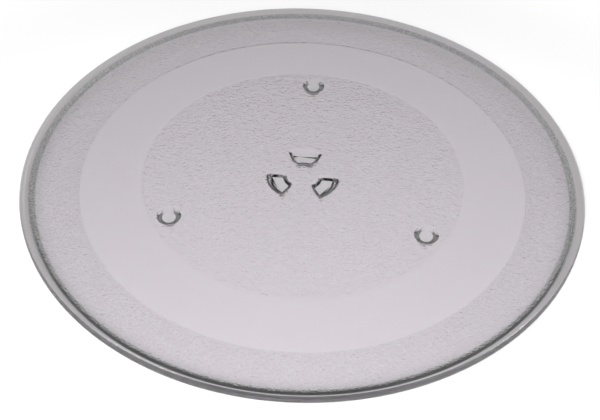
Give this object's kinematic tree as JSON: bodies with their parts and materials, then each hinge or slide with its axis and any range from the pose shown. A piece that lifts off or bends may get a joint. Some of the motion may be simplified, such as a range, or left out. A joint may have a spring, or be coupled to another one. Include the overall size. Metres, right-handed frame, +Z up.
{
  "type": "microwave turntable plate",
  "caption": "Round pressed-glass oven turntable plate: shallow dish with a raised lip, smooth roller track, drive lugs and small feet underneath.",
  "frame": {"origin": "centre of the plane that the feet stand on, on the plate's axis of rotation", "axes": "+Z up along the axis of rotation, out of the dish; +Y towards one foot and one drive lug; +X to the right, completing a right-handed frame"},
  "size_m": [0.34, 0.34, 0.0154],
  "materials": {
    "glass": "clear pressed glass with a faint mauve-grey tint; stippled underside, smooth track and feet"
  },
  "bodies": {
    "root": {"glass_plate": "glass"}
  },
  "joints": []
}
